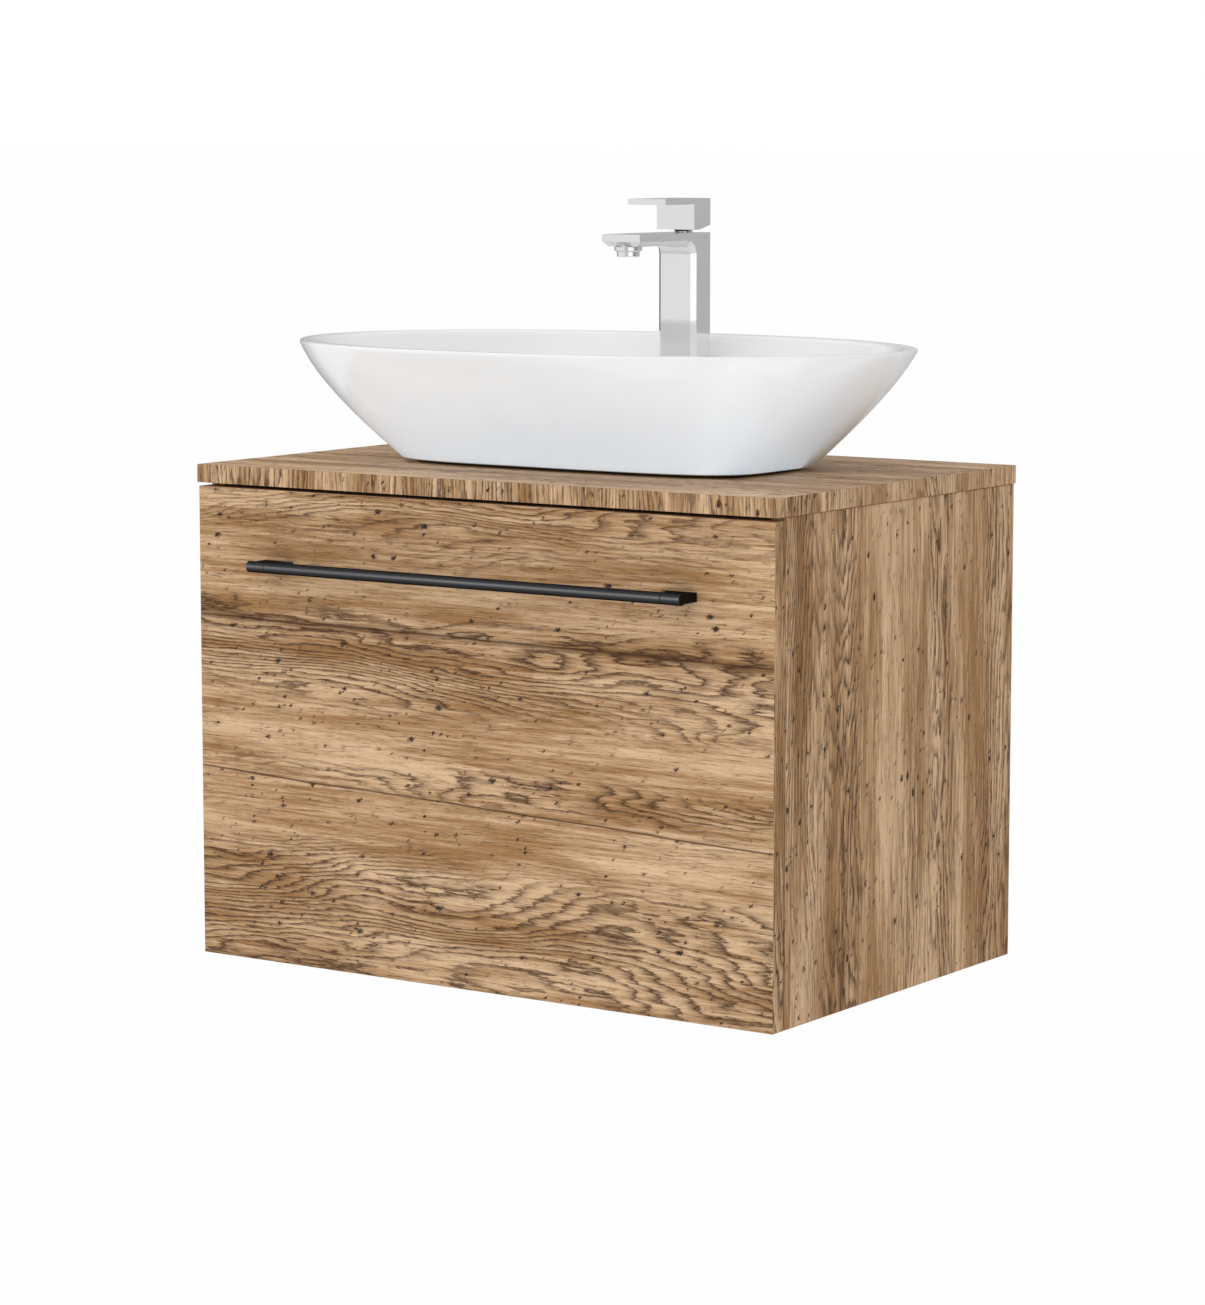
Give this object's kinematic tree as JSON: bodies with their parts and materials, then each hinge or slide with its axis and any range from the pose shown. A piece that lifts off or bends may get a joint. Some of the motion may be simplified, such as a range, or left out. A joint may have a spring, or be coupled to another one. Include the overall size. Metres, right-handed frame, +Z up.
{
  "type": "bathroom vanity with vessel sink",
  "caption": "Wall-hung vanity cabinet with a full-width drawer and bar handle, under an oval flared vessel basin with a square single-lever mixer tap.",
  "frame": {"origin": "on the wall, at the middle of the rear face of the upper back rail, through which the cabinet is screwed to the wall", "axes": "+X to the cabinet's right as seen from the front, +Y into the wall, +Z up; the drawer front faces -Y"},
  "size_m": [0.6, 0.421, 0.6659],
  "materials": {
    "decor_wood": "matt rustic oak decor with dark grain, knots and worm holes",
    "carcass_board": "matt white melamine",
    "white_ceramic": "gloss white glaze",
    "chrome": "mirror polished",
    "black_metal": "satin anthracite black",
    "zinc_steel": "zinc plated",
    "brass": "machined",
    "white_plastic": "moulded",
    "grey_plastic": "moulded",
    "black_rubber": "matt"
  },
  "bodies": {
    "root": {"worktop": "decor_wood", "side_panel_left": "decor_wood", "side_panel_right": "decor_wood", "bottom_panel": "decor_wood", "back_rail_lower": "carcass_board", "back_rail_upper": "carcass_board", "front_stretcher": "carcass_board", "hanger_left": "zinc_steel", "hanger_right": "zinc_steel", "runner_fixed_left": "zinc_steel", "runner_fixed_right": "zinc_steel", "basin": "white_ceramic", "tap_body": "chrome", "tap_base_plate": "chrome", "tap_gasket": "black_rubber", "tap_stud": "zinc_steel", "tap_horseshoe_washer": "zinc_steel", "tap_nut": "brass", "tap_cartridge": "white_plastic", "tap_cartridge_nut": "brass", "aerator_housing": "chrome", "aerator_insert": "grey_plastic", "waste_body": "chrome", "waste_click": "white_plastic", "waste_seal_upper": "black_rubber", "waste_seal_lower": "black_rubber", "waste_nut": "brass", "trap_inlet_nut": "chrome", "trap_head": "chrome", "trap_cup": "chrome", "trap_dip_tube": "white_plastic", "trap_outlet_nut": "chrome", "trap_outlet_pipe": "chrome", "wall_rosette": "chrome"},
    "drawer": {"drawer_front": "decor_wood", "drawer_side_left": "carcass_board", "drawer_side_right": "carcass_board", "drawer_back_left": "carcass_board", "drawer_back_right": "carcass_board", "drawer_floor": "carcass_board", "drawer_trap_recess": "grey_plastic", "handle_rod": "black_metal", "handle_end_left": "black_metal", "handle_end_right": "black_metal", "handle_screw_left": "zinc_steel", "handle_screw_right": "zinc_steel", "runner_inner_left": "zinc_steel", "runner_inner_right": "zinc_steel"},
    "runner_middle_left": {"runner_middle_left": "zinc_steel"},
    "runner_middle_right": {"runner_middle_right": "zinc_steel"},
    "tap_swivel": {"tap_dome": "chrome"},
    "tap_lever": {"tap_lever": "chrome", "lever_stem": "brass", "lever_set_screw": "zinc_steel"},
    "waste_plug": {"waste_plug": "chrome"}
  },
  "joints": [
    {"name": "drawer_slide", "type": "slide", "parent": "root", "child": "drawer", "axis": [0, -1, 0], "range_m": [0, 0.3]},
    {"name": "runner_middle_left_slide", "type": "slide", "parent": "root", "child": "runner_middle_left", "axis": [0, -1, 0], "range_m": [0, 0.15]},
    {"name": "runner_middle_right_slide", "type": "slide", "parent": "root", "child": "runner_middle_right", "axis": [0, -1, 0], "range_m": [0, 0.15]},
    {"name": "tap_swivel_turn", "type": "hinge", "parent": "root", "child": "tap_swivel", "pos_m": [0, -0.07375, 0.2743], "axis": [0, 0, 1], "range_deg": [-50, 50]},
    {"name": "tap_lever_lift", "type": "hinge", "parent": "tap_swivel", "child": "tap_lever", "pos_m": [0, -0.07375, 0.2743], "axis": [-1, 0, 0], "range_deg": [0, 25]},
    {"name": "waste_plug_press", "type": "slide", "parent": "root", "child": "waste_plug", "axis": [0, 0, 1], "range_m": [0, 0.008]}
  ],
  "couplings": [
    {"joint": "runner_middle_left_slide", "follows": "drawer_slide", "ratio": 0.5},
    {"joint": "runner_middle_right_slide", "follows": "drawer_slide", "ratio": 0.5}
  ]
}
